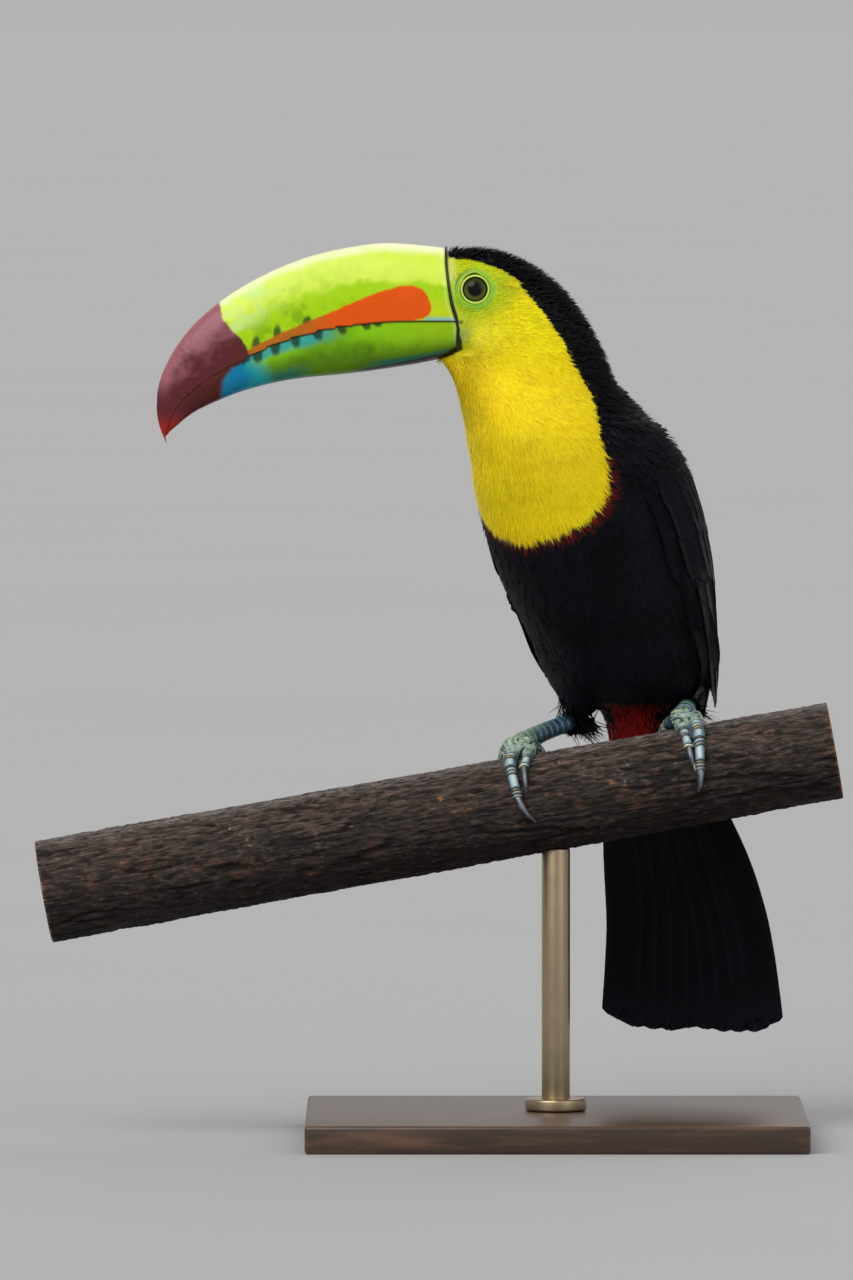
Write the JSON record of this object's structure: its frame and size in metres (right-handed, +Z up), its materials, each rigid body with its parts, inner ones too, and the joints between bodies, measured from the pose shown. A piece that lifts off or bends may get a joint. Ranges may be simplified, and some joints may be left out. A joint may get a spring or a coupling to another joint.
{
  "type": "keel-billed toucan mounted model",
  "caption": "Life-size keel-billed toucan looking to one side, perched on a cut length of branch held over a flat base by a short rod.",
  "frame": {"origin": "middle of the underside of the stand's base", "axes": "+Z up, +X to the viewer's right along the perch (the bill points to -X), -Y towards the viewer, whom the chest faces"},
  "size_m": [0.3424, 0.17, 0.3806],
  "materials": {
    "black_plumage": "black contour and flight feathers with a faint bluish sheen",
    "yellow_plumage": "fine hair-like yellow feathers, black on the crown and nape",
    "red_plumage": "soft red feathers under the tail's root, white above it",
    "bill_horn": "glossy horn, green with an orange patch, blue below and a maroon tip",
    "eye": "wet, dark brown with a black pupil",
    "leg_scale": "blue-grey scutes with pale yellow edges",
    "claw_horn": "dark grey horn, satin",
    "bark": "rough dark bark with reddish flecks, pale wood at the cut ends",
    "stand_wood": "dark stained wood, satin",
    "stand_metal": "brushed bronze-coloured metal"
  },
  "bodies": {
    "root": {"head": "yellow_plumage", "neck": "yellow_plumage", "trunk": "black_plumage", "wing_left": "black_plumage", "wing_right": "black_plumage", "thigh_left": "black_plumage", "thigh_right": "black_plumage", "tail": "black_plumage", "tail_coverts": "red_plumage", "bill_upper": "bill_horn", "bill_lower": "bill_horn", "eye_left": "eye", "eye_right": "eye", "foot_left": "leg_scale", "foot_right": "leg_scale", "toe_left_1": "leg_scale", "toe_left_2": "leg_scale", "toe_left_3": "leg_scale", "toe_left_4": "leg_scale", "toe_right_1": "leg_scale", "toe_right_2": "leg_scale", "toe_right_3": "leg_scale", "toe_right_4": "leg_scale", "claw_left_1": "claw_horn", "claw_left_2": "claw_horn", "claw_left_3": "claw_horn", "claw_left_4": "claw_horn", "claw_right_1": "claw_horn", "claw_right_2": "claw_horn", "claw_right_3": "claw_horn", "claw_right_4": "claw_horn", "perch_branch": "bark", "stand_base": "stand_wood", "stand_rod": "stand_metal", "stand_collar": "stand_metal"}
  },
  "joints": []
}
